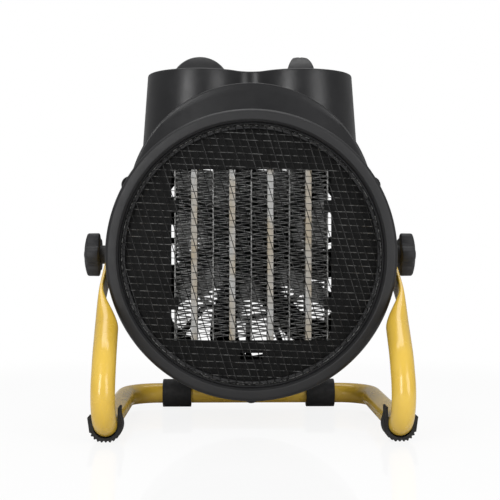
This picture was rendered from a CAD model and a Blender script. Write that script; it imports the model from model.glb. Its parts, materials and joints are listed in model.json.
# Portable drum fan heater on a tilting tube stand, dressed for the studio shot.
# Lengths in the dictionaries are millimetres; y and z run from the drum's pivot unless a note says "floor".
import json
import math
import random
import bmesh
import bpy
from mathutils import Matrix, Vector, noise


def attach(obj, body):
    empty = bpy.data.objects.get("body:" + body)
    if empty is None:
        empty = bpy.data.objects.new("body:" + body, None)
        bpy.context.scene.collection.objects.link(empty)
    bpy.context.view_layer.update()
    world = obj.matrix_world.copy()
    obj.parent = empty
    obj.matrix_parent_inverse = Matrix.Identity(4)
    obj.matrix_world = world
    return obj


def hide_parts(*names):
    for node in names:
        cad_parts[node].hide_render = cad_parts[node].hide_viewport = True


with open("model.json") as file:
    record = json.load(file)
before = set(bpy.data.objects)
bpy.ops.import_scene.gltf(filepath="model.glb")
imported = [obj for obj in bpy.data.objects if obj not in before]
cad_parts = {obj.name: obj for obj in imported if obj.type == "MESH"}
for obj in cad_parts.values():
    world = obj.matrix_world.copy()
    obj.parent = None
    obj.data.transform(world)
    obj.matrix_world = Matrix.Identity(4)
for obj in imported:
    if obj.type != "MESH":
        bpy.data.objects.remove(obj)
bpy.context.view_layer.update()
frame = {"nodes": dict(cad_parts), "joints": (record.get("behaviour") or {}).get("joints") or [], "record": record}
nodes = frame["nodes"]
mm = 0.001
past = 5  # cutters reach this far beyond what they cut
dice = random.Random(11)

pivot = Vector(next(joint["pos_m"] for joint in frame["joints"] if joint["name"] == "drum_tilt"))
knobSeat = next(joint["pos_m"] for joint in frame["joints"] if joint["name"] == "selector_turn")


# camera, floor and light

camera = {
    "pixels": 1072, "image": 500, "sensor": 36,
    "distance": 792.25, "height": 128, "yaw": 1.15, "aside": 0.6,
}

lights = {
    "skyStrength": 0.36, "aim": (0, 0, 130),
    "keyPower": 8.6, "keyWidth": 360, "keyHeight": 1100, "keyPlace": (-600, -1124, 560),
    "fillPower": 6.8, "fillWidth": 560, "fillHeight": 1100, "fillPlace": (800, -990, 520),
    "topPower": 6.5, "topWidth": 1100, "topHeight": 700, "topPlace": (0, 250, 1250),
}

floorLook = {
    "glow": 0.87, "shade": 0.08, "mirror": 0.10, "gloss": 0.02, "bounce": 0.75,
    "fadeFrom": 0.30, "fadeTo": 0.55, "size": 9000,
}


def makeCamera():
    data = bpy.data.cameras.new("shotCamera")
    data.sensor_width = camera["sensor"]
    data.lens = camera["pixels"] / camera["image"] * data.sensor_width
    data.clip_start = 0.01
    yaw = math.radians(camera["yaw"])
    spot = bpy.data.objects.new("shotCamera", data)
    aside = camera["aside"] * mm
    back = camera["distance"] * mm
    spot.location = (
        -aside * math.cos(yaw) - back * math.sin(yaw),
        aside * math.sin(yaw) - back * math.cos(yaw),
        camera["height"] * mm,
    )
    spot.rotation_euler = (math.pi / 2, 0, -yaw)
    bpy.context.scene.collection.objects.link(spot)
    bpy.context.scene.camera = spot


def areaLight(name):
    data = bpy.data.lights.new(name + "Light", "AREA")
    data.shape = "RECTANGLE"
    data.energy = lights[name + "Power"]
    data.size = lights[name + "Width"] * mm
    data.size_y = lights[name + "Height"] * mm
    lamp = bpy.data.objects.new(name + "Light", data)
    lamp.location = Vector(lights[name + "Place"]) * mm
    toHeater = Vector(lights["aim"]) * mm - lamp.location
    lamp.rotation_euler = toHeater.to_track_quat("-Z", "Y").to_euler()
    bpy.context.scene.collection.objects.link(lamp)


def grey(part):
    return (part, part, part, 1)


def addNode(tree, kind, **sockets):
    made = tree.nodes.new("ShaderNode" + kind)
    for socket, value in sockets.items():
        made.inputs[socket.replace("_", " ")].default_value = value
    return made


# 1 where the camera looks straight on or through something clear
def seenByCamera(tree):
    path = addNode(tree, "LightPath")
    seen = addNode(tree, "Math")
    seen.operation = "MAXIMUM"
    tree.links.new(path.outputs["Is Camera Ray"], seen.inputs[0])
    tree.links.new(path.outputs["Is Transmission Ray"], seen.inputs[1])
    return seen


def shadersTogether(tree, kind, *sources):
    joint = addNode(tree, kind)
    for source, socket in zip(sources, joint.inputs):
        tree.links.new(source.outputs[0], socket)
    return joint


def makeWorld():
    world = bpy.data.worlds.new("studioSky")
    bpy.context.scene.world = world
    world.use_nodes = True
    tree = world.node_tree
    tree.nodes.clear()
    light = addNode(tree, "Background", Color=grey(1), Strength=lights["skyStrength"])
    white = addNode(tree, "Background", Color=grey(1), Strength=1)
    sky = shadersTogether(tree, "MixShader", seenByCamera(tree), light, white)
    tree.links.new(sky.outputs[0], addNode(tree, "OutputWorld").inputs["Surface"])


# glossy white sweep: glows for the camera, keeps soft shadows and a faint mirror image
def makeFloor():
    bm = bmesh.new()
    bmesh.ops.create_grid(bm, x_segments=1, y_segments=1, size=floorLook["size"] * mm / 2)
    mesh = bpy.data.meshes.new("studioFloor")
    bm.to_mesh(mesh)
    bm.free()
    floor = bpy.data.objects.new("studioFloor", mesh)
    bpy.context.scene.collection.objects.link(floor)
    mat = bpy.data.materials.new("whiteSweep")
    mat.use_nodes = True
    tree = mat.node_tree
    tree.nodes.clear()
    glow = addNode(tree, "Emission", Color=grey(1), Strength=floorLook["glow"])
    shade = addNode(tree, "BsdfDiffuse", Color=grey(floorLook["shade"]))
    mirror = addNode(tree, "BsdfGlossy", Color=grey(floorLook["mirror"]), Roughness=floorLook["gloss"])
    near = shadersTogether(tree, "AddShader", shadersTogether(tree, "AddShader", glow, shade), mirror)
    # far from the heater the sweep is plain white
    white = addNode(tree, "Emission", Color=grey(1), Strength=1)
    spot = addNode(tree, "TexCoord")
    far = addNode(tree, "VectorMath")
    far.operation = "LENGTH"
    fade = addNode(tree, "MapRange", From_Min=floorLook["fadeFrom"], From_Max=floorLook["fadeTo"])
    fade.interpolation_type = "SMOOTHSTEP"
    tree.links.new(spot.outputs["Object"], far.inputs[0])
    tree.links.new(far.outputs["Value"], fade.inputs["Value"])
    sweep = shadersTogether(tree, "MixShader", fade, near, white)
    plain = addNode(tree, "BsdfDiffuse", Color=grey(floorLook["bounce"]))
    look = shadersTogether(tree, "MixShader", seenByCamera(tree), plain, sweep)
    tree.links.new(look.outputs[0], addNode(tree, "OutputMaterial").inputs["Surface"])
    mesh.materials.append(mat)


makeCamera()
makeWorld()
makeFloor()
for name in ("key", "fill", "top"):
    areaLight(name)
bpy.context.scene.view_settings.view_transform = "Standard"
print("stage: camera, floor and light")


# finishes


def objectSpace(tree, stretch):
    mapping = addNode(tree, "Mapping", Scale=stretch)
    tree.links.new(addNode(tree, "TexCoord").outputs["Object"], mapping.inputs["Vector"])
    return mapping.outputs["Vector"]


def noiseAt(tree, vector, grain):
    detail, rough = grain.get("detail", 3), grain.get("rough", 0.55)
    tex = addNode(tree, "TexNoise", Scale=grain["scale"], Detail=detail, Roughness=rough)
    tree.links.new(vector, tex.inputs["Vector"])
    return tex.outputs["Fac"]


def spread(tree, value, fromLow, fromHigh, toLow, toHigh):
    remap = addNode(tree, "MapRange", From_Min=fromLow, From_Max=fromHigh, To_Min=toLow, To_Max=toHigh)
    tree.links.new(value, remap.inputs["Value"])
    return remap.outputs["Result"]


# two tones in patches, gloss that wanders between two values, and bumps in layers
def finish(name, dark, light, patches, gloss, bumps, stretch=(1, 1, 1), **sockets):
    mat = bpy.data.materials.new(name)
    mat.use_nodes = True
    tree = mat.node_tree
    shader = tree.nodes["Principled BSDF"]
    for socket, value in sockets.items():
        shader.inputs[socket.replace("_", " ")].default_value = value
    here = objectSpace(tree, stretch)
    patch = noiseAt(tree, objectSpace(tree, patches.get("stretch", stretch)), patches)
    share = spread(tree, patch, patches.get("low", 0.3), patches.get("high", 0.7), 0, 1)
    tone = addNode(tree, "Mix")
    tone.data_type = "RGBA"
    tone.inputs["A"].default_value = (*dark, 1)
    tone.inputs["B"].default_value = (*light, 1)
    tree.links.new(share, tone.inputs["Factor"])
    tree.links.new(tone.outputs["Result"], shader.inputs["Base Color"])
    wander = spread(tree, noiseAt(tree, here, gloss), 0.3, 0.7, gloss["low"], gloss["high"])
    tree.links.new(wander, shader.inputs["Roughness"])
    normal = None
    for layer in bumps:
        bump = addNode(tree, "Bump", Strength=layer["strength"], Distance=layer["distance"])
        tree.links.new(noiseAt(tree, here, layer), bump.inputs["Height"])
        if normal is not None:
            tree.links.new(normal, bump.inputs["Normal"])
        normal = bump.outputs["Normal"]
    tree.links.new(normal, shader.inputs["Normal"])
    return mat


housing = {"dark": (0.009, 0.009, 0.010), "light": (0.013, 0.013, 0.014), "roughness": 0.34, "wander": 0.04}


def housingPlastic(name, roughness, lift=1.0):
    return finish(
        name, [part * lift for part in housing["dark"]], [part * lift for part in housing["light"]],
        {"scale": 38, "detail": 4},
        {"scale": 140, "low": roughness - housing["wander"], "high": roughness + housing["wander"]},
        [
            {"scale": 60, "detail": 2, "strength": 0.05, "distance": 0.0008},
            {"scale": 3400, "detail": 2, "rough": 0.7, "strength": 0.14, "distance": 0.0002},
        ],
        Specular_IOR_Level=0.42,
    )


def knobPlastic(name):
    return finish(
        name, (0.013, 0.013, 0.014), (0.020, 0.020, 0.021),
        {"scale": 120, "detail": 4, "low": 0.35, "high": 0.65}, {"scale": 260, "low": 0.44, "high": 0.58},
        [{"scale": 3000, "detail": 2, "strength": 0.12, "distance": 0.0002}],
        Specular_IOR_Level=0.38,
    )


# level wires have lost more of their dark coat than leaning ones, and the rim shows bare cut ends
def wireSteel(name, dark, light, patchScale):
    return finish(
        name, (dark, dark, dark), (light, light, light * 0.98),
        {"scale": patchScale, "detail": 4, "low": 0.45, "high": 0.62},
        {"scale": 500, "low": 0.22, "high": 0.42},
        [{"scale": 2500, "detail": 2, "strength": 0.2, "distance": 0.0002}],
        Metallic=0.6,
    )


def metal(name, dark, light, roughness, scratches=(1, 1, 1)):
    return finish(
        name, dark, light,
        {"scale": 180, "detail": 5}, {"scale": 600, "low": roughness - 0.08, "high": roughness + 0.1},
        [{"scale": 2400, "strength": 0.2, "distance": 0.0002}], scratches,
        Metallic=1.0,
    )


finishes = {
    "yellow_paint": finish(
        "yellowPaint", (0.68, 0.43, 0.042), (0.77, 0.51, 0.074),
        {"scale": 14, "low": 0.35, "high": 0.65}, {"scale": 60, "low": 0.22, "high": 0.30},
        [
            {"scale": 300, "detail": 2, "strength": 0.02, "distance": 0.0004},
            {"scale": 2600, "detail": 2, "strength": 0.03, "distance": 0.0002},
        ],
        Coat_Weight=0.4, Coat_Roughness=0.08,
    ),
    "black_rubber": finish(
        "blackRubber", (0.006, 0.006, 0.007), (0.012, 0.012, 0.013),
        {"scale": 90, "detail": 4}, {"scale": 300, "low": 0.6, "high": 0.82},
        [{"scale": 2200, "strength": 0.25, "distance": 0.0003}],
    ),
    "black_housing": housingPlastic("blackHousing", housing["roughness"]),
    "mesh_steel": wireSteel("meshSteel", 0.008, 0.022, 230),
    "black_plate": finish(
        "blackPlate", (0.003, 0.003, 0.003), (0.006, 0.006, 0.006),
        {"scale": 55, "detail": 4}, {"scale": 200, "low": 0.42, "high": 0.6},
        [{"scale": 1500, "strength": 0.15, "distance": 0.0003}],
        Specular_IOR_Level=0.14,
    ),
    "black_screw": metal("blackScrew", (0.012, 0.012, 0.012), (0.035, 0.035, 0.036), 0.4),
    "fin_aluminium": finish(
        "finAluminium", (0.16, 0.16, 0.155), (0.40, 0.40, 0.39),
        {"scale": 90, "detail": 5}, {"scale": 420, "low": 0.25, "high": 0.5},
        [{"scale": 700, "strength": 0.3, "distance": 0.0004}], (1, 0.3, 1),
        Metallic=1.0,
    ),
    # film and foil change from brick to brick
    "strip_ceramic": finish(
        "stripCeramic", (0.42, 0.36, 0.27), (0.46, 0.46, 0.45),
        {"scale": 46, "detail": 2, "rough": 0.5, "low": 0.40, "high": 0.60, "stretch": (1.6, 0.2, 0.7)},
        {"scale": 300, "low": 0.35, "high": 0.65},
        [{"scale": 500, "strength": 0.2, "distance": 0.0004}],
    ),
    "motor_steel": metal("motorSteel", (0.30, 0.31, 0.32), (0.52, 0.53, 0.54), 0.36),
    "cream_plastic": finish(
        "creamPlastic", (0.55, 0.50, 0.38), (0.66, 0.61, 0.50),
        {"scale": 70, "detail": 4}, {"scale": 260, "low": 0.38, "high": 0.55},
        [{"scale": 1800, "detail": 2, "strength": 0.15, "distance": 0.0002}],
    ),
    "black_knob": knobPlastic("blackKnob"),
    "bush_brass": metal("bushBrass", (0.48, 0.33, 0.10), (0.72, 0.54, 0.22), 0.32, (0.3, 1, 1)),
    "screw_steel": metal("screwSteel", (0.38, 0.38, 0.39), (0.62, 0.62, 0.63), 0.3),
    "fan_plastic": knobPlastic("fanPlastic"),
}
wornSteel = wireSteel("wornSteel", 0.02, 0.16, 320)
bareSteel = wireSteel("bareSteel", 0.006, 0.17, 620)
ringPlastic = housingPlastic("ringPlastic", 0.5)
starPlastic = housingPlastic("starPlastic", 0.6, 1.8)
slotOf = {row["node"]: row["material_slot"] for row in frame["record"]["subparts"]}
print("stage: finishes")


# shape tools


def place(bm, x=0.0, y=0.0, z=0.0):  # millimetres from the pivot
    bmesh.ops.scale(bm, vec=(mm, mm, mm), verts=bm.verts)
    bmesh.ops.translate(bm, vec=pivot + Vector((x, y, z)) * mm, verts=bm.verts)


def turn(bm, angle, axis):
    bmesh.ops.rotate(bm, cent=(0, 0, 0), matrix=Matrix.Rotation(math.radians(angle), 3, axis), verts=bm.verts)


# closed outline as one face; each point is (across, up) or (across, up, rounding)
def outlineFace(points, steps):
    bm = bmesh.new()
    verts = [bm.verts.new((point[0], 0, point[1])) for point in points]
    bm.faces.new(verts)
    rounding = {}
    for vert, point in zip(verts, points):
        if len(point) > 2:
            rounding.setdefault(point[2], []).append(vert)
    for radius, corners in rounding.items():
        bmesh.ops.bevel(
            bm, geom=corners, offset=radius, offset_type="OFFSET", segments=steps, profile=0.5,
            affect="VERTICES", material=-1,
        )
    return bm


# turned solid about the y axis; points are (radius, y) or (radius, y, rounding)
def turned(points, steps, rounds=4):
    bm = outlineFace(points, rounds)
    for vert in bm.verts:
        vert.co = Vector((vert.co.x, vert.co.z, 0))
    bmesh.ops.delete(bm, geom=list(bm.faces), context="FACES_ONLY")
    onAxis = [edge for edge in bm.edges if all(abs(vert.co.x) < 1e-6 for vert in edge.verts)]
    bmesh.ops.delete(bm, geom=onAxis, context="EDGES")
    bmesh.ops.spin(
        bm, geom=list(bm.verts) + list(bm.edges), cent=(0, 0, 0), axis=(0, 1, 0), dvec=(0, 0, 0),
        angle=2 * math.pi, steps=steps, use_merge=True,
    )
    bmesh.ops.remove_doubles(bm, verts=bm.verts, dist=1e-4)
    bmesh.ops.recalc_face_normals(bm, faces=bm.faces)
    return bm


# round bar along the y axis
def rod(radius, front, back, steps=48):
    return turned([(0, front), (radius, front), (radius, back), (0, back)], steps)


# flat plate from an outline, reaching from y = front to y = front + depth
def plate(points, front, depth, steps=4):
    bm = outlineFace(points, steps)
    bmesh.ops.translate(bm, vec=(0, front, 0), verts=bm.verts)
    made = bmesh.ops.extrude_face_region(bm, geom=list(bm.faces))
    moved = [item for item in made["geom"] if isinstance(item, bmesh.types.BMVert)]
    bmesh.ops.translate(bm, vec=(0, depth, 0), verts=moved)
    bmesh.ops.recalc_face_normals(bm, faces=bm.faces)
    return bm


def ringOf(bm, count, fit):
    made = bmesh.ops.create_circle(bm, segments=count, radius=1)
    for vert in made["verts"]:
        vert.co = fit(vert.co.x, vert.co.y)
    return list(dict.fromkeys(edge for vert in made["verts"] for edge in vert.link_edges))


# skin over rings of edges, with caps unless the last ring meets the first
def joined(bm, rings, closedLoop=False):
    pairs = list(zip(rings, rings[1:]))
    if closedLoop:
        pairs.append((rings[-1], rings[0]))
    for first, second in pairs:
        bmesh.ops.bridge_loops(bm, edges=first + second)
    if not closedLoop:
        bmesh.ops.edgeloop_fill(bm, edges=rings[0])
        bmesh.ops.edgeloop_fill(bm, edges=rings[-1])
    bmesh.ops.recalc_face_normals(bm, faces=bm.faces)
    return bm


# skin through rings that hold the same number of points
def skinned(fits, count):
    bm = bmesh.new()
    return joined(bm, [ringOf(bm, count, fit) for fit in fits])


def together(*parts):
    whole = bmesh.new()
    for part in parts:
        mesh = bpy.data.meshes.new("part")
        part.to_mesh(mesh)
        part.free()
        whole.from_mesh(mesh)
        bpy.data.meshes.remove(mesh)
    return whole


def meshObject(name, bm):
    mesh = bpy.data.meshes.new(name)
    bm.to_mesh(mesh)
    bm.free()
    thing = bpy.data.objects.new(name, mesh)
    bpy.context.scene.collection.objects.link(thing)
    return thing


def baked(thing):  # applies the modifiers
    graph = bpy.context.evaluated_depsgraph_get()
    mesh = bpy.data.meshes.new_from_object(thing.evaluated_get(graph))
    old = thing.data
    thing.modifiers.clear()
    thing.data = mesh
    bpy.data.meshes.remove(old)
    mesh.name = thing.name
    return thing


def carve(thing, cutter, kind="DIFFERENCE", crossed=False):  # crossed: the cutter runs through itself
    other = meshObject("cutter", cutter)
    step = thing.modifiers.new("carve", "BOOLEAN")
    step.object = other
    step.operation = kind
    step.solver = "EXACT"
    step.use_self = crossed
    baked(thing)
    tool = other.data
    bpy.data.objects.remove(other)
    bpy.data.meshes.remove(tool)
    return thing


# round hole; the bar lies along y until it is turned
def drill(thing, radius, low, high, angle, axis, spot=(0, 0, 0), steps=48):
    bar = rod(radius, low, high, steps)
    turn(bar, angle, axis)
    place(bar, *spot)
    carve(thing, bar)


def dress(thing, body, slot, *stoodFor, sharp=35, bevel=0.0, weld=True, finish=None):
    mesh = thing.data
    if weld:
        bm = bmesh.new()
        bm.from_mesh(mesh)
        bmesh.ops.remove_doubles(bm, verts=bm.verts, dist=1e-7)
        bmesh.ops.dissolve_degenerate(bm, edges=bm.edges, dist=1e-7)
        bm.to_mesh(mesh)
        bm.free()
    mesh.validate()
    mesh.materials.clear()
    mesh.materials.append(finish or finishes[slot])
    mesh.shade_smooth()
    mesh.set_sharp_from_angle(angle=math.radians(sharp))
    if bevel:
        edge = thing.modifiers.new("softEdges", "BEVEL")
        edge.width = bevel * mm
        edge.segments = 2
        edge.limit_method = "ANGLE"
        edge.angle_limit = math.radians(sharp)
        edge.harden_normals = True
    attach(thing, body)
    if stoodFor:
        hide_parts(*stoodFor)


# a CAD solid with welded corners, smooth faces and softened edges
def refined(node, body, bevel=0.25):
    bm = bmesh.new()
    bm.from_mesh(nodes[node].data)
    bmesh.ops.remove_doubles(bm, verts=bm.verts, dist=1e-6)
    bmesh.ops.dissolve_limit(bm, angle_limit=math.radians(0.4), verts=bm.verts, edges=bm.edges)
    fine = meshObject(node + "_fine", bm)
    dress(fine, body, slotOf[node], node, sharp=32, bevel=bevel, weld=False)


# stand

stand = {
    "tube": 16, "setback": 110, "depth": 180, "footBend": 22, "rearBend": 26, "floorRun": 98.5, "floor": 10.8,
    "kneeBend": 40, "kneeHeight": 49, "riserLean": 60,
    "tab": 3.2, "tabWidth": 20, "tabSquare": 4, "flat": 50, "swell": 40, "bow": 2, "tabOuter": 106.6,
    "eyeRound": 0.8, "hole": 4.5, "holeReach": 9,
    "armSteps": 80, "bendSteps": 20, "rearSteps": 20, "sides": 40,
}
floorDrop = -pivot.z / mm  # the floor as seen from the pivot


def smoothstep(value, low, high):
    share = min(max((value - low) / (high - low), 0), 1)
    return share * share * (3 - 2 * share)


def mixed(low, high, share):
    return low + (high - low) * share


def onCircle(centre, radius, angle):
    return centre + Vector((math.cos(angle), math.sin(angle))) * radius


# an arm seen from the side: straight from the pivot, round the knee and down the riser to the foot bend
def armRoute():
    riserAngle = math.radians(stand["riserLean"] + 90)
    bend = Vector((-stand["setback"] + stand["footBend"], floorDrop + stand["floor"] + stand["footBend"]))
    riserFoot = onCircle(bend, stand["footBend"], riserAngle)
    riser = (floorDrop + stand["kneeHeight"] - riserFoot.y) / math.sin(riserAngle - math.pi / 2)
    riserTop = onCircle(riserFoot, riser, riserAngle - math.pi / 2)
    knee = onCircle(riserTop, -stand["kneeBend"], riserAngle)
    kneeAngle = math.atan2(-knee.y, -knee.x) + math.acos(stand["kneeBend"] / knee.length)
    kneeTop = onCircle(knee, stand["kneeBend"], kneeAngle)
    upper = kneeTop.length
    kneeEnd = upper + stand["kneeBend"] * (riserAngle - kneeAngle)

    def spotAt(run):
        if run < upper:
            return kneeTop * (run / upper)
        if run < kneeEnd:
            return onCircle(knee, stand["kneeBend"], kneeAngle + (run - upper) / stand["kneeBend"])
        return riserTop.lerp(riserFoot, (run - kneeEnd) / riser)

    return bend, riserAngle, kneeEnd + riser, spotAt


# centre, side angle, thickness, width and squareness along half the tube, from the pivot to the rear bar
def halfRoute():
    tube = stand["tube"]
    low = floorDrop + stand["floor"]
    bend, riserAngle, length, spotAt = armRoute()
    stops = []
    for i in range(stand["armSteps"] + 1):
        run = length * i / stand["armSteps"]
        swell = smoothstep(run, stand["flat"], stand["flat"] + stand["swell"])
        thick = mixed(stand["tab"], tube, swell)
        wide = mixed(stand["tabWidth"], tube, swell)
        bow = stand["bow"] * math.sin(math.pi * run / length) ** 2
        outer = mixed(stand["tabOuter"], stand["floorRun"] + tube / 2, smoothstep(run, 0, length)) + bow
        spot = Vector((outer - thick / 2, *spotAt(run)))
        stops.append((spot, None, thick, wide, mixed(stand["tabSquare"], 2, swell)))
    for i in range(1, stand["bendSteps"] + 1):
        y, z = onCircle(bend, stand["footBend"], mixed(riserAngle, 1.5 * math.pi, i / stand["bendSteps"]))
        stops.append((Vector((stand["floorRun"], y, z)), None, tube, tube, 2))
    rear = stand["rearBend"]
    turnX = stand["floorRun"] - rear
    turnY = stand["depth"] - stand["setback"] - rear
    for i in range(stand["rearSteps"] + 1):
        angle = math.pi / 2 * i / stand["rearSteps"]
        spot = Vector((turnX + rear * math.cos(angle), turnY + rear * math.sin(angle), low))
        stops.append((spot, angle, tube, tube, 2))
    stops.append((Vector((0, turnY + rear, low)), math.pi / 2, tube, tube, 2))
    return stops


def tubeFit(stop, along):
    spot, angle, thick, wide, square = stop
    side = Vector((1, 0, 0)) if angle is None else Vector((math.cos(angle), math.sin(angle), 0))
    other = along.cross(side).normalized()

    def fit(c, s):
        power = 2 / square
        across = math.copysign(abs(c) ** power, c) * thick / 2
        up = math.copysign(abs(s) ** power, s) * wide / 2
        return spot + side * across + other * up

    return fit


def standTube():
    stops = halfRoute()
    fits = []
    for i, stop in enumerate(stops):
        along = (stops[min(i + 1, len(stops) - 1)][0] - stops[max(i - 1, 0)][0]).normalized()
        if i == len(stops) - 1:
            along = Vector((-1, 0, 0))
        fits.append(tubeFit(stop, along))
    bm = skinned(fits, stand["sides"])
    ends = [face for face in bm.faces if all(abs(vert.co.x) < 1e-4 for vert in face.verts)]
    bmesh.ops.delete(bm, geom=ends, context="FACES_ONLY")
    bmesh.ops.mirror(bm, geom=list(bm.verts) + list(bm.edges) + list(bm.faces), axis="X", merge_dist=1e-4)
    bmesh.ops.remove_doubles(bm, verts=bm.verts, dist=1e-4)
    bmesh.ops.recalc_face_normals(bm, faces=bm.faces)
    place(bm)
    tube = meshObject("standTube", bm)
    middle = stand["tabOuter"] - stand["tab"] / 2
    half, reach, rounding = stand["tab"] / 2, stand["tabWidth"] / 2, stand["eyeRound"]
    for side in (-1, 1):
        eye = turned([(0, -half), (reach, -half, rounding), (reach, half, rounding), (0, half)], 64)
        hole = rod(stand["hole"], -stand["holeReach"], stand["holeReach"])
        for piece, kind in ((eye, "UNION"), (hole, "DIFFERENCE")):
            turn(piece, 90, "Z")
            place(piece, side * middle)
            carve(tube, piece, kind)
    dress(tube, "stand", "yellow_paint", "stand_tube", sharp=50)


foot = {
    "radius": 11.4, "inner": 8.15, "length": 14, "start": 14,
    "tooth": 0.9, "teeth": 9, "treadFrom": -158, "treadTo": -28, "cheek": (-20, -10, 0, 12, 24),
    "tailReach": 0.6, "tailHeight": 6.0, "tailRound": 0.5,
    "lip": 12.3, "lipWidth": 1.7, "lipRise": 7.2, "lipSetIn": 1.6,
    "lipInset": 0.2, "lipOuterRound": 0.6, "lipInnerRound": 0.3, "edge": 0.35,
    "rearLength": 23, "rearSpacing": 117, "rearRound": 0.6,
}


def aroundPoints(radius, angles):
    turns = [math.radians(angle) for angle in angles]
    return [(radius * math.cos(angle), radius * math.sin(angle)) for angle in turns]


# clip open at the top, toothed tread below, a lip on the inner side
def frontFoot(side, word):
    outer, inner = foot["radius"], foot["inner"]
    points = [(-outer - foot["tailReach"], foot["tailHeight"], foot["tailRound"])]
    steps = foot["teeth"] * 4
    for i in range(steps + 1):
        angle = math.radians(mixed(foot["treadFrom"], foot["treadTo"], i / steps))
        notch = foot["tooth"] if i % 4 in (1, 2) else 0
        reach = outer - notch
        points.append((reach * math.cos(angle), max(reach * math.sin(angle), notch - stand["floor"])))
    points += aroundPoints(outer, foot["cheek"])
    points.append((outer - foot["lipSetIn"], foot["lipRise"]))
    points.append((inner + foot["lipWidth"], foot["lip"], foot["lipOuterRound"]))
    points.append((inner + foot["lipInset"], foot["lip"], foot["lipInnerRound"]))
    points += aroundPoints(inner, range(0, -216, -8))
    front = -stand["setback"] + foot["start"]
    bm = plate([(-x * side, z, *more) for x, z, *more in points], front, foot["length"], 3)
    place(bm, side * stand["floorRun"], 0, floorDrop + stand["floor"])
    thing = meshObject("frontFoot" + word, bm)
    dress(thing, "stand", "black_rubber", "front_foot_" + word.lower(), sharp=40, bevel=foot["edge"])


def rearFoot(side, word):
    half = foot["rearLength"] / 2
    inner, outer, edge = foot["inner"], foot["radius"], foot["rearRound"]
    bm = turned([(inner, -half), (outer, -half, edge), (outer, half, edge), (inner, half)], 96)
    turn(bm, 90, "Z")
    for vert in bm.verts:
        vert.co.z = max(vert.co.z, -stand["floor"])
    place(bm, side * foot["rearSpacing"] / 2, stand["depth"] - stand["setback"], floorDrop + stand["floor"])
    dress(meshObject("rearFoot" + word, bm), "stand", "black_rubber", "rear_foot_" + word.lower(), sharp=40)


standTube()
for side, word in ((-1, "Left"), (1, "Right")):
    frontFoot(side, word)
    rearFoot(side, word)
print("stage: stand")


# drum with its shoulder, bosses and screw seats

drum = {
    "radius": 102, "wall": 2.5, "front": -39.7, "back": 50, "edge": 0.4, "steps": 160,
    "boss": 13, "bossFace": 102.3, "bossRoot": 4, "bushHole": 7.0, "bushReach": 120,
    "shoulderRadius": 89.9, "shoulderRise": 35.4, "shoulderEdge": -29.5, "shoulderRound": 1.8,
    "shoulderBack": 6, "arcBack": 0.55, "arcDown": 0.45, "bead": 0.85, "beadSink": 0.5, "podGap": 1.2,
    "screwY": -33, "screwPad": 6.2, "padSink": 1.5, "screwRise": 2, "screwRound": 1.2, "screwHole": 2.3,
    "screwAngles": (30, 150, 270),
}

pod = {
    "spread": 38.3, "radius": 40, "y": 17, "rim": 137.4, "wall": 2.5, "draft": 4.1, "waist": 15,
    "back": 28.6, "corner": 7, "recess": 3, "deck": 3, "round": 1.2, "chamfer": 0.3, "air": 0.3,
    "foot": 40, "levels": (70, 100, 120), "spindleHole": 4.2, "deckEdge": 0.5,
    "neckHole": 7.3, "neckDrop": 20, "neckReach": 60,
}


def arcPoints(cx, cy, radius, start, end, steps):
    points = []
    for i in range(steps + 1):
        angle = math.radians(mixed(start, end, i / steps))
        points.append(Vector((cx + radius * math.cos(angle), cy + radius * math.sin(angle))))
    return points


# pod outline seen from above, grown by an offset
def podOutline(offset):
    radius, waist = pod["radius"] + offset, pod["waist"] - offset
    back, corner = pod["back"] + offset, pod["corner"]
    reach = radius + waist
    waistAngle = math.degrees(math.acos(pod["spread"] / reach))
    waistY = math.sqrt(reach ** 2 - pod["spread"] ** 2)
    cornerY = back - corner
    cornerX = math.sqrt((radius - corner) ** 2 - cornerY ** 2)
    cornerAngle = math.degrees(math.atan2(cornerY, cornerX))
    right = arcPoints(0, -waistY, waist, 90, waistAngle, 14)
    right += arcPoints(pod["spread"], 0, radius, waistAngle - 180, cornerAngle, 60)[1:]
    right += arcPoints(pod["spread"] + cornerX, cornerY, corner, cornerAngle, 90, 10)[1:]
    left = [Vector((-p.x, p.y)) for p in reversed(right[1:])]
    return [Vector((p.x, p.y + pod["y"])) for p in right + left]


def podSpread(height):
    return (pod["rim"] - height) * math.tan(math.radians(pod["draft"]))


# skin through pod outlines; levels are (offset, height)
def podLoft(levels, closedLoop=False):
    bm = bmesh.new()
    rings = []
    for offset, height in levels:
        verts = [bm.verts.new((p.x, p.y, height)) for p in podOutline(offset)]
        rings.append([bm.edges.new((verts[i - 1], verts[i])) for i in range(len(verts))])
    return joined(bm, rings, closedLoop)


def drumBar(radius, front, back):
    bm = rod(radius, front, back, drum["steps"])
    place(bm)
    return bm


def shoulderRing(radius, y, rise):
    return lambda c, s: Vector((radius * c, y, radius * s + rise))


# the drum's front edge leans back into a raised shoulder with a rounded rim
def shoulderHood():
    radius, edge, arcSize = drum["radius"], drum["shoulderEdge"], drum["shoulderRound"]
    rings = []
    for share in (0, 0.25, 0.5, 0.75):
        rings.append(shoulderRing(
            mixed(radius, drum["shoulderRadius"], share),
            mixed(drum["front"], edge - arcSize, share),
            mixed(0, drum["shoulderRise"] - arcSize, share),
        ))
    for i in range(7):
        angle = math.pi / 2 * i / 6
        drop = arcSize * (1 - math.sin(angle))
        rings.append(shoulderRing(
            drum["shoulderRadius"] - drop * drum["arcBack"],
            edge - arcSize * math.cos(angle),
            drum["shoulderRise"] - drop * drum["arcDown"],
        ))
    for i in range(1, 13):
        y = mixed(edge, drum["shoulderBack"], i / 12)
        rings.append(shoulderRing(drum["shoulderRadius"], y, drum["shoulderRise"]))
    return skinned(rings, 192)


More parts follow.
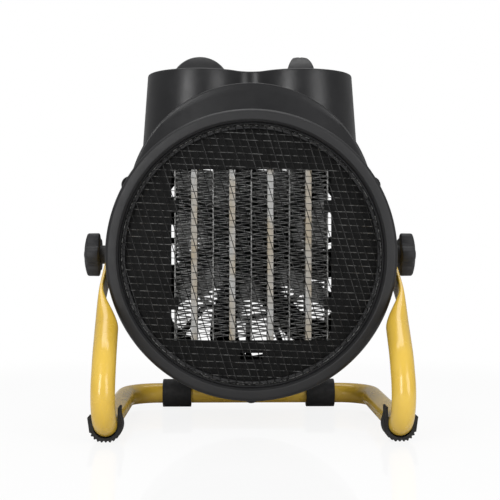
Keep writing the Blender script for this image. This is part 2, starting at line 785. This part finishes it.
def drumShell():
    radius, inner, edge = drum["radius"], drum["radius"] - drum["wall"], drum["edge"]
    front, back = drum["front"], drum["back"]
    hood = shoulderHood()
    place(hood)
    shell = meshObject("drumShell", hood)
    podSpace = podLoft([(podSpread(0) + drum["podGap"], 0), (drum["podGap"], pod["rim"])])
    place(podSpace)
    carve(shell, podSpace)
    body = turned([(radius, front, edge), (radius, back, edge), (inner, back), (inner, front)], drum["steps"])
    place(body)
    root, face = inner - drum["bossRoot"], drum["bossFace"]
    for side in (-1, 1):
        boss = turned([(0, root), (drum["boss"], root), (drum["boss"], face, edge), (0, face)], 64)
        turn(boss, -90 * side, "Z")
        place(boss)
        body = together(body, boss)
    carve(shell, drumBar(inner, front - past, back + past))
    carve(shell, body, "UNION", True)
    carve(shell, drumBar(inner, front - past, back + past))
    drill(shell, drum["bushHole"], -drum["bushReach"], drum["bushReach"], 90, "Z")
    low, top, width = radius - drum["padSink"], radius + drum["screwRise"], drum["screwPad"]
    for angle in drum["screwAngles"]:
        pad = turned([(0, low), (width, low), (width, top, drum["screwRound"]), (0, top)], 64)
        hole = rod(drum["screwHole"], inner - past, top + past, 40)
        for piece, kind in ((pad, "UNION"), (hole, "DIFFERENCE")):
            turn(piece, -90, "Z")
            turn(piece, -angle, "Y")
            place(piece, 0, drum["screwY"])
            carve(shell, piece, kind)
    dress(shell, "drum", "black_housing", "drum_shell", sharp=30)


# rolled bead along the front edge of the shoulder
def shoulderBead():
    size, middle = drum["bead"], drum["shoulderRadius"] - drum["bead"]
    front = drum["shoulderEdge"] - size
    bm = turned([(middle + x, front + y) for x, y in aroundPoints(size, range(0, 360, 30))], 240)
    place(bm, 0, 0, drum["shoulderRise"])
    inside = drumBar(drum["radius"] - drum["beadSink"], drum["front"] - past, drum["back"])
    bead = carve(meshObject("shoulderBead", bm), inside)
    dress(bead, "drum", "black_housing", sharp=50)


drumShell()
shoulderBead()

screw = {
    "head": 4.9, "height": 3.3, "rim": 0.8, "edge": 0.3, "dome": 6.2, "domeFrom": 42, "turnEach": 20,
    "shank": 2.0, "length": 11, "seat": 104.3, "slot": 1.1, "slotReach": 2.7, "slotDepth": 1.3,
}


def housingScrew(index, angle):
    seat, top = screw["seat"], screw["seat"] + screw["height"]
    head, shank, end = screw["head"], screw["shank"], screw["seat"] - screw["length"]
    profile = [(0, end), (shank, end), (shank, seat)]
    profile += [(head, seat, screw["edge"]), (head, seat + screw["rim"])]
    dome = screw["dome"]
    profile += [(p.x, p.y) for p in arcPoints(0, top - dome, dome, screw["domeFrom"], 90, 14)]
    thing = meshObject("housingScrew%d" % index, turned(profile, 48))
    reach, half = screw["slotReach"], screw["slot"] / 2
    corners = [(-reach, -half), (reach, -half), (reach, half), (-reach, half)]
    for turnBy in (0, 90):
        arm = plate(corners, top - screw["slotDepth"], past)
        turn(arm, turnBy + screw["turnEach"] * index, "Y")
        carve(thing, arm)
    bm = bmesh.new()
    bm.from_mesh(thing.data)
    turn(bm, -90, "Z")
    turn(bm, -angle, "Y")
    place(bm, 0, drum["screwY"])
    bm.to_mesh(thing.data)
    bm.free()
    dress(thing, "drum", "black_screw", "housing_screw_%d" % index, sharp=40)


for index, angle in enumerate(drum["screwAngles"]):
    housingScrew(index + 1, angle)
print("stage: drum")


# front ring

ring = {
    "radius": 104, "lip": 95.5, "front": -53, "back": -40,
    "sleeve": 94.6, "sleeveStart": 2.0, "flange": 90.5, "flangeDepth": 3.5,
    "lipDrop": 1.0, "lipWidth": 0.7, "lipRound": 0.6, "faceSetIn": 1.6, "faceDrop": 0.5, "faceRound": 1.4,
    "sideStart": 3.0, "sideRound": 1.2, "backRound": 1.0, "edge": 0.3, "softEdge": 0.4,
}


def frontRing():
    front, back, radius = ring["front"], ring["back"], ring["radius"]
    edge, softEdge = ring["edge"], ring["softEdge"]
    flangeFront = back - ring["flangeDepth"]
    profile = [
        (ring["lip"], front + ring["lipDrop"], softEdge),
        (ring["lip"] + ring["lipWidth"], front, ring["lipRound"]),
        (radius - ring["faceSetIn"], front + ring["faceDrop"], ring["faceRound"]),
        (radius, front + ring["sideStart"], ring["sideRound"]),
        (radius, back, ring["backRound"]),
        (ring["flange"], back, edge),
        (ring["flange"], flangeFront, edge),
        (ring["sleeve"], flangeFront, softEdge),
        (ring["sleeve"], front + ring["sleeveStart"], softEdge),
    ]
    bm = turned(profile, 192, 6)
    place(bm)
    dress(meshObject("frontRing", bm), "drum", "black_housing", "front_ring", sharp=40, finish=ringPlastic)


frontRing()


# woven guard: level wires over leaning wires, rolled back at the hem

guard = {
    "radius": 93.4, "front": -45.2, "thickness": 1.4,
    "hem": 1.0, "hemTube": 0.42, "hemSink": 0.2, "band": 0.4, "bandEdge": 0.1, "roll": 4.5, "rollDepth": 1.1,
    "edgeGap": 0.6, "cutEnds": 40, "cutDepth": 0.14, "cutSink": 0.1,
    "pitchX": 5.55, "pitchZ": 4.82, "slope": -2.5, "lean": 107, "levelWire": 0.29, "leanWire": 0.31,
    "weave": 0.30, "step": 2.4, "uneven": 0.12, "wander": 0.22,
}


def wireSet(angle, gap, shift, thickness, name):
    curve = bpy.data.curves.new(name, "CURVE")
    curve.dimensions = "3D"
    curve.bevel_depth = thickness * mm
    curve.bevel_resolution = 1
    curve.use_fill_caps = True
    along = Vector((math.cos(math.radians(angle)), math.sin(math.radians(angle))))
    across = Vector((-along.y, along.x))
    reach = guard["radius"] - guard["hem"] * 0.6
    middle = guard["front"] + guard["thickness"] / 2
    count = int(reach / gap) + 1
    for row in range(-count, count + 1):
        off = row * gap + dice.uniform(-guard["uneven"], guard["uneven"])
        if abs(off) > reach - guard["edgeGap"]:
            continue
        half = math.sqrt(reach ** 2 - off ** 2)
        steps = max(6, int(half * 2 / guard["step"]))
        spline = curve.splines.new("POLY")
        spline.points.add(steps)
        wander = dice.uniform(0, 9)
        for i in range(steps + 1):
            t = mixed(-half, half, i / steps)
            sway = guard["wander"] * noise.noise(Vector((t * 0.03, row * 0.9, wander)))
            spot = along * t + across * (off + sway)
            edge = max(0, (spot.length - (reach - guard["roll"])) / guard["roll"])
            weave = guard["weave"] * math.cos(math.pi * (t / guard["pitchX"] + row))
            y = middle + shift * weave + guard["rollDepth"] * edge ** 2
            spline.points[i].co = (*(pivot + Vector((spot.x, y, spot.y)) * mm), 1)
    return curve


def frontMesh():
    lean = math.radians(guard["lean"] - guard["slope"])
    level = wireSet(guard["slope"], guard["pitchZ"], 1, guard["levelWire"], "levelWires")
    leaning = wireSet(guard["lean"], guard["pitchX"] * math.sin(lean), -1, guard["leanWire"], "leanWires")
    woven = []
    for curve in (level, leaning):
        holder = bpy.data.objects.new("wires", curve)
        bpy.context.scene.collection.objects.link(holder)
        graph = bpy.context.evaluated_depsgraph_get()
        mesh = bpy.data.meshes.new_from_object(holder.evaluated_get(graph))
        bpy.data.objects.remove(holder)
        bpy.data.curves.remove(curve)
        bm = bmesh.new()
        bm.from_mesh(mesh)
        bpy.data.meshes.remove(mesh)
        woven.append(bm)
    # a rim wire with the cut ends folded over it, and a flat band behind
    radius, tube, inner = guard["radius"], guard["hemTube"], guard["radius"] - guard["hem"]
    middle = guard["front"] + guard["thickness"] - tube - guard["hemSink"]
    rim = turned([(inner + tube + x, middle + y) for x, y in aroundPoints(tube, range(0, 360, 45))], 360)
    for vert in rim.verts:
        turnAt = math.atan2(vert.co.z, vert.co.x)
        cut = noise.noise(Vector((turnAt * guard["cutEnds"], 0, 3)))
        vert.co.y += guard["cutDepth"] * cut - guard["cutSink"]
    high = guard["front"] + guard["thickness"]
    low, edge = high - guard["band"], guard["bandEdge"]
    corners = ((inner, low), (radius, low), (radius, high), (inner, high))
    band = turned([(*corner, edge) for corner in corners], 180, 1)
    for piece in (rim, band):
        place(piece)
    leaned = meshObject("frontMesh", together(woven[1], band))
    dress(leaned, "drum", "mesh_steel", "front_mesh", sharp=50, weld=False)
    dress(meshObject("levelWires", woven[0]), "drum", "mesh_steel", sharp=50, weld=False, finish=wornSteel)
    dress(meshObject("hemRim", rim), "drum", "mesh_steel", sharp=50, weld=False, finish=bareSteel)


frontMesh()
print("stage: ring and mesh guard")


# heating block

block = {
    "pitch": 27.5, "cells": 4, "height": 125.98, "front": -37.9, "depth": 22, "divider": 1.0, "strip": 4.4,
    "fin": 0.26, "folds": 72, "gap": 0.3, "slant": 0.62, "overlap": 0.12, "corner": 0.9, "cornerRise": 0.35,
    "uneven": 0.4, "nudge": 0.2, "endGap": 1, "slabCuts": 40,
    "dividerEdge": 0.15, "dividerBend": 0.25, "stripEdge": 0.5, "stripBend": 0.1,
    "droops": (2.2, 2.2, 2.4, 2.4, 2.4, 2.4, 2.2, 2.2),  # fall of each column's foil from front to back
}


# one long folded foil, its runs a little uneven as if pressed by hand
def finColumn(index, x, width):
    bm = bmesh.new()
    droop = block["droops"][index - 1]
    step = (block["height"] - 2 * block["endGap"] - droop) / block["folds"]
    half = width / 2 + block["overlap"]
    inset = half - block["corner"]
    low = -block["height"] / 2 + block["endGap"] + droop / 2
    last = None
    for i in range(block["folds"] + 1):
        side = 1 if i % 2 else -1
        lift = step * (1 - block["slant"]) / 2
        small = lift * block["cornerRise"]
        z = low + i * step + dice.uniform(-block["nudge"], block["nudge"])
        for px, pz in ((inset, -lift), (half, -small), (half, small), (inset, lift)):
            vert = bm.verts.new((x + side * px, block["front"], z + pz))
            if last is not None:
                bm.edges.new((last, vert))
            last = vert
    made = bmesh.ops.extrude_edge_only(bm, edges=list(bm.edges))
    moved = [item for item in made["geom"] if isinstance(item, bmesh.types.BMVert)]
    bmesh.ops.translate(bm, vec=(0, block["depth"], 0), verts=moved)
    for vert in bm.verts:
        fall = droop + block["uneven"] * noise.noise(Vector((index * 3.7, 0, vert.co.z * 0.07)))
        vert.co.z += fall / 2 if vert.co.y < block["front"] + block["depth"] / 2 else -fall / 2
    bmesh.ops.recalc_face_normals(bm, faces=bm.faces)
    place(bm)
    thing = meshObject("finFoil%d" % index, bm)
    thick = thing.modifiers.new("foil", "SOLIDIFY")
    thick.thickness = block["fin"] * mm
    thick.offset = 0
    baked(thing)
    dress(thing, "drum", "fin_aluminium", "fin_column_%d" % index, sharp=50)


def slab(name, node, slot, part, x):
    half, height, bend = block[part] / 2, block["height"] / 2, block[part + "Bend"]
    corners = [(x - half, -height), (x + half, -height), (x + half, height), (x - half, height)]
    bm = plate(corners, block["front"], block["depth"])
    lines = [edge for edge in bm.edges if abs(edge.verts[0].co.z - edge.verts[1].co.z) > height]
    bmesh.ops.subdivide_edges(bm, edges=lines, cuts=block["slabCuts"], use_grid_fill=True)
    for vert in bm.verts:
        vert.co.x += bend * noise.noise(Vector((x, 0, vert.co.z * 0.18)))
    place(bm)
    dress(meshObject(name, bm), "drum", slot, node, sharp=40, bevel=block[part + "Edge"])


def heatingBlock():
    left = -block["pitch"] * block["cells"] / 2
    width = block["pitch"] / 2 - block["divider"] / 2 - block["strip"] / 2 - block["gap"] * 2
    for i in range(block["cells"] + 1):
        node = "fin_divider_%d" % (i + 1)
        slab("divider%d" % (i + 1), node, "fin_aluminium", "divider", left + i * block["pitch"])
    for i in range(block["cells"]):
        middle = left + (i + 0.5) * block["pitch"]
        node = "ceramic_strip_%d" % (i + 1)
        slab("heatStrip%d" % (i + 1), node, "strip_ceramic", "strip", middle)
        reach = block["strip"] / 2 + block["gap"] + width / 2
        finColumn(2 * i + 1, middle - reach, width)
        finColumn(2 * i + 2, middle + reach, width)


heatingBlock()
print("stage: heating block")


# control pod


def controlPod():
    rim, wall, rounding, low, chamfer = pod["rim"], pod["wall"], pod["round"], pod["foot"], pod["chamfer"]
    levels = [(podSpread(z), z) for z in (low, *pod["levels"], rim - rounding)]
    for i in range(1, 6):
        angle = math.pi / 2 * i / 5
        levels.append((-rounding * (1 - math.cos(angle)), rim - rounding + rounding * math.sin(angle)))
    levels += [(podSpread(rim) - wall + chamfer, rim), (podSpread(rim) - wall, rim - chamfer)]
    levels += [(podSpread(z) - wall, z) for z in (*reversed(pod["levels"]), low)]
    bm = podLoft(levels, closedLoop=True)
    place(bm)
    thing = meshObject("controlPod", bm)
    carve(thing, drumBar(drum["radius"] + pod["air"], drum["front"] - past, drum["back"] + past))
    neck = rod(pod["neckHole"], pod["y"], pod["y"] + pod["neckReach"])
    place(neck, 0, 0, rim - pod["neckDrop"])
    carve(thing, neck)
    dress(thing, "drum", "black_housing", "control_pod", sharp=35)


def podDeck():
    top = pod["rim"] - pod["recess"]
    offset = podSpread(top) - pod["wall"] - pod["air"]
    edge = pod["deckEdge"]
    bend = edge * 0.3
    levels = [(offset, top - pod["deck"]), (offset, top - edge)]
    levels += [(offset - bend, top - bend), (offset - edge, top)]
    bm = podLoft(levels)
    place(bm)
    thing = meshObject("podDeck", bm)
    for side in (-1, 1):
        drill(thing, pod["spindleHole"], -past, past, 90, "X", (side * pod["spread"], pod["y"], top), 40)
    dress(thing, "drum", "black_housing", "pod_deck", sharp=35)


controlPod()
podDeck()


# control knobs: a dome cut away on both sides of a finger grip

knob = {
    "radius": 21, "height": 17.0, "dome": 23.4, "baseRound": 0.3, "rimRound": 0.25, "edge": 0.35,
    "skirt": 2.2, "gripBase": 20.4, "gripTop": 8.4, "gripPower": 2.1,
    "pointer": 1.8, "groove": 1.1, "grooveEnd": 8, "cutReach": 30, "bore": 3.3, "boreDepth": 10,
}


def controlKnob(name, node, side, turnBy):
    height, radius, reach = knob["height"], knob["radius"], knob["cutReach"]
    start = math.degrees(math.acos(radius / knob["dome"]))
    dome = [(p.x, p.y) for p in arcPoints(0, height - knob["dome"], knob["dome"], start, 90, 24)]
    solid = turned([(0, 0), (radius, 0, knob["baseRound"]), (*dome[0], knob["rimRound"])] + dome[1:], 96)
    turn(solid, 90, "X")
    edge = [(reach, -past), (reach, knob["skirt"])]
    for i in range(25):
        share = i / 24
        half = mixed(knob["gripBase"], knob["gripTop"], share ** knob["gripPower"]) / 2
        edge.append((half, mixed(knob["skirt"], height, share)))
    edge.append((knob["gripTop"] / 2, height + past))
    outline = edge + [(-x, z) for x, z in reversed(edge)]
    thing = meshObject(name, solid)
    carve(thing, plate(outline, -reach, reach * 2), "INTERSECT")
    half, low = knob["pointer"] / 2, height - knob["groove"]
    corners = [(-half, low), (half, low), (half, reach), (-half, reach)]
    carve(thing, plate(corners, -reach, reach + knob["grooveEnd"]))
    bore = rod(knob["bore"], -past, knob["boreDepth"], 32)
    turn(bore, 90, "X")
    carve(thing, bore)
    bm = bmesh.new()
    bm.from_mesh(thing.data)
    bmesh.ops.remove_doubles(bm, verts=bm.verts, dist=1e-3)
    turn(bm, turnBy, "Z")
    place(bm, side * pod["spread"], pod["y"], knobSeat[2] / mm + floorDrop)
    bm.to_mesh(thing.data)
    bm.free()
    dress(thing, node, "black_knob", node, sharp=40, bevel=knob["edge"])


controlKnob("thermostatKnob", "thermostat_knob", -1, 90)
controlKnob("selectorKnob", "selector_knob", 1, 0)
print("stage: control pod")


# tilt knobs: ribbed five-lobe stars

star = {
    "hub": 7, "hubStart": 106.9, "hubLength": 6, "hubEdge": 0.3, "bore": 4.3, "boreDepth": 7,
    "radius": 16.6, "valley": 13, "length": 9.6, "lobes": 5, "lobePower": 1.3, "rib": 0.35, "ribs": 5,
    "dome": 2.4, "domeSetIn": 1.6, "domeTop": 0.8,
    # rounded rims: (along, set in, share of the ribs), from the front face and from the dome's edge
    "frontRim": ((0, 1.2, 0), (0.3, 0.4, 1), (0.9, 0, 1)), "domeRim": ((-1.4, 0.1, 1), (-0.5, 0.6, 1)),
}


def starRing(x, radius, depth, rib=0.0):
    def fit(c, s):
        angle = math.atan2(s, c)
        wave = (1 - math.cos(star["lobes"] * (angle + math.pi))) / 2
        reach = radius - depth * wave ** star["lobePower"]
        reach -= rib * min(wave * 2, 1) * (1 - math.cos(star["lobes"] * star["ribs"] * angle)) / 2
        return Vector((x, reach * math.cos(angle), reach * math.sin(angle)))
    return fit


def tiltKnob(side, word):
    start, hub, radius, rib = star["hubStart"], star["hub"], star["radius"], star["rib"]
    face = start + star["hubLength"]
    end = face + star["length"]
    deep = radius - star["valley"]
    edge = star["hubEdge"]
    fits = [starRing(start, hub - edge, 0), starRing(start + edge, hub, 0), starRing(face, hub, 0)]
    for x, rim in ((face, star["frontRim"]), (end, (*star["domeRim"], (0, star["domeSetIn"], 0.5)))):
        fits += [starRing(x + along, radius - setIn, deep, rib * part) for along, setIn, part in rim]
    for share in (0.2, 0.4, 0.6, 0.8, 0.95):
        x = end + star["dome"] * (1 - (1 - share) ** 2)
        reach = mixed(radius - star["domeSetIn"], star["domeTop"], share)
        fits.append(starRing(x, reach, deep * (1 - share)))
    bm = skinned(fits, 240)
    if side < 0:
        bmesh.ops.scale(bm, vec=(-1, 1, 1), verts=bm.verts)
        bmesh.ops.recalc_face_normals(bm, faces=bm.faces)
    place(bm)
    thing = meshObject("tiltKnob" + word, bm)
    drill(thing, star["bore"], start - past, start + star["boreDepth"], -90 * side, "Z", steps=40)
    body = "tilt_knob_" + word.lower()
    dress(thing, body, "black_knob", body, sharp=40, finish=starPlastic)


for side, word in ((-1, "Left"), (1, "Right")):
    tiltKnob(side, word)
print("stage: tilt knobs")


# rear grille

grille = {
    "front": 50.3, "depth": 24, "face": 88, "wall": 2.5, "rib": 4.6, "inner": 27, "middle": 52, "outer": 83,
    "innerSlots": 9, "outerSlots": 18, "innerRound": 0.8, "outerRound": 1.6, "edge": 0.4,
    # the bowl between face and rim: (in from the radius, share of the depth, rounding)
    "inside": ((7.25, 0.56, 6), (3.5, 0.28, 4)), "outside": ((1.0, 0.3, 5), (4.5, 0.62, 6)),
    "faceInner": (-1.5, 3), "faceOuter": (2.5, 4), "faceDrop": 2.0, "faceRound": 2,
}


def rearGrille():
    radius, wall, face = drum["radius"], grille["wall"], grille["face"]
    front, depth = grille["front"], grille["depth"]
    back = front + depth
    inside, outside = (
        [(radius - setIn, front + depth * share, rounding) for setIn, share, rounding in grille[skin]]
        for skin in ("inside", "outside")
    )
    innerReach, innerRound = grille["faceInner"]
    outerReach, outerRound = grille["faceOuter"]
    profile = [(0, back - wall), (face + innerReach, back - wall, innerRound)] + inside
    profile += [(radius - wall, front), (radius, front, grille["edge"])] + outside
    profile += [(face + outerReach, back - grille["faceDrop"], outerRound), (face, back, grille["faceRound"])]
    bm = turned(profile + [(0, back)], 160, 4)
    place(bm)
    thing = meshObject("rearGrille", bm)
    slots = []
    half, middle = grille["rib"] / 2, grille["middle"]
    small, large = grille["innerRound"], grille["outerRound"]
    rows = (
        (grille["inner"], middle - half, grille["innerSlots"]),
        (middle + half, grille["outer"], grille["outerSlots"]),
    )
    for inner, outer, count in rows:
        low, high = math.pi * inner / count - half, math.pi * outer / count - half
        corners = [(inner, -low, small), (outer, -high, large), (outer, high, large), (inner, low, small)]
        for i in range(count):
            slot = plate(corners, back - wall - past, wall + past * 2)
            turn(slot, 360 * i / count, "Y")
            place(slot)
            slots.append(slot)
    carve(thing, together(*slots))
    dress(thing, "drum", "black_housing", "rear_grille", sharp=35)


rearGrille()

gland = {
    "bore": 3.8, "neck": 7, "neckIn": 5, "radius": 9, "length": 15, "nut": 5.2, "step": 1.1,
    "cap": 1.5, "capRound": 1.2, "edge": 0.5, "softEdge": 0.4, "radiusShares": (0.86, 0.78, 0.66),
}


def cableGland():
    bore, neck, radius = gland["bore"], gland["neck"], gland["radius"]
    height = pod["rim"] - pod["neckDrop"]
    wallBack = pod["y"] + pod["back"] + podSpread(height)
    seat = wallBack + pod["air"] + radius * math.tan(math.radians(pod["draft"]))
    start, nutEnd, end = wallBack - gland["neckIn"], seat + gland["nut"], seat + gland["length"]
    edge, softEdge = gland["edge"], gland["softEdge"]
    shoulder, cap, mouth = (radius * share for share in gland["radiusShares"])
    bm = turned([
        (bore, start), (neck, start, edge), (neck, seat),
        (radius, seat, edge), (radius, nutEnd, edge), (shoulder, nutEnd + gland["step"], softEdge),
        (cap, end - gland["cap"], gland["capRound"]), (mouth, end, edge), (bore, end, softEdge),
    ], 72)
    for vert in bm.verts:  # six flats on the nut
        reach = math.hypot(vert.co.x, vert.co.z)
        if seat - 0.01 < vert.co.y < nutEnd + 0.1 and reach > radius * 0.9:
            angle = math.atan2(vert.co.z, vert.co.x)
            corner = math.cos(math.pi / 6) / math.cos((angle % (math.pi / 3)) - math.pi / 6)
            vert.co.x *= corner
            vert.co.z *= corner
    place(bm, 0, 0, height)
    dress(meshObject("cableGland", bm), "drum", "black_knob", "cable_gland", sharp=30)


cableGland()
print("stage: rear grille and gland")


# inner pieces keep their solids, welded and softened
for name in ("fan_wheel", "motor_shaft"):
    refined(name, "fan")
for name in ("motor_body", "motor_bracket", "selector_switch", "thermostat"):
    refined(name, "drum")
for name in ("terminal_block", "thermal_cutout", "block_bar_top", "block_bar_bottom"):
    refined(name, "drum")
for side in ("left", "right"):
    refined("pivot_bush_" + side, "drum")
    refined("pivot_washer_" + side, "drum", bevel=0.2)
    refined("tilt_stud_" + side, "tilt_knob_" + side)
refined("selector_spindle", "selector_knob")
refined("thermostat_spindle", "thermostat_knob")
refined("baffle_plate", "drum", bevel=0.2)
print("stage: inner pieces")
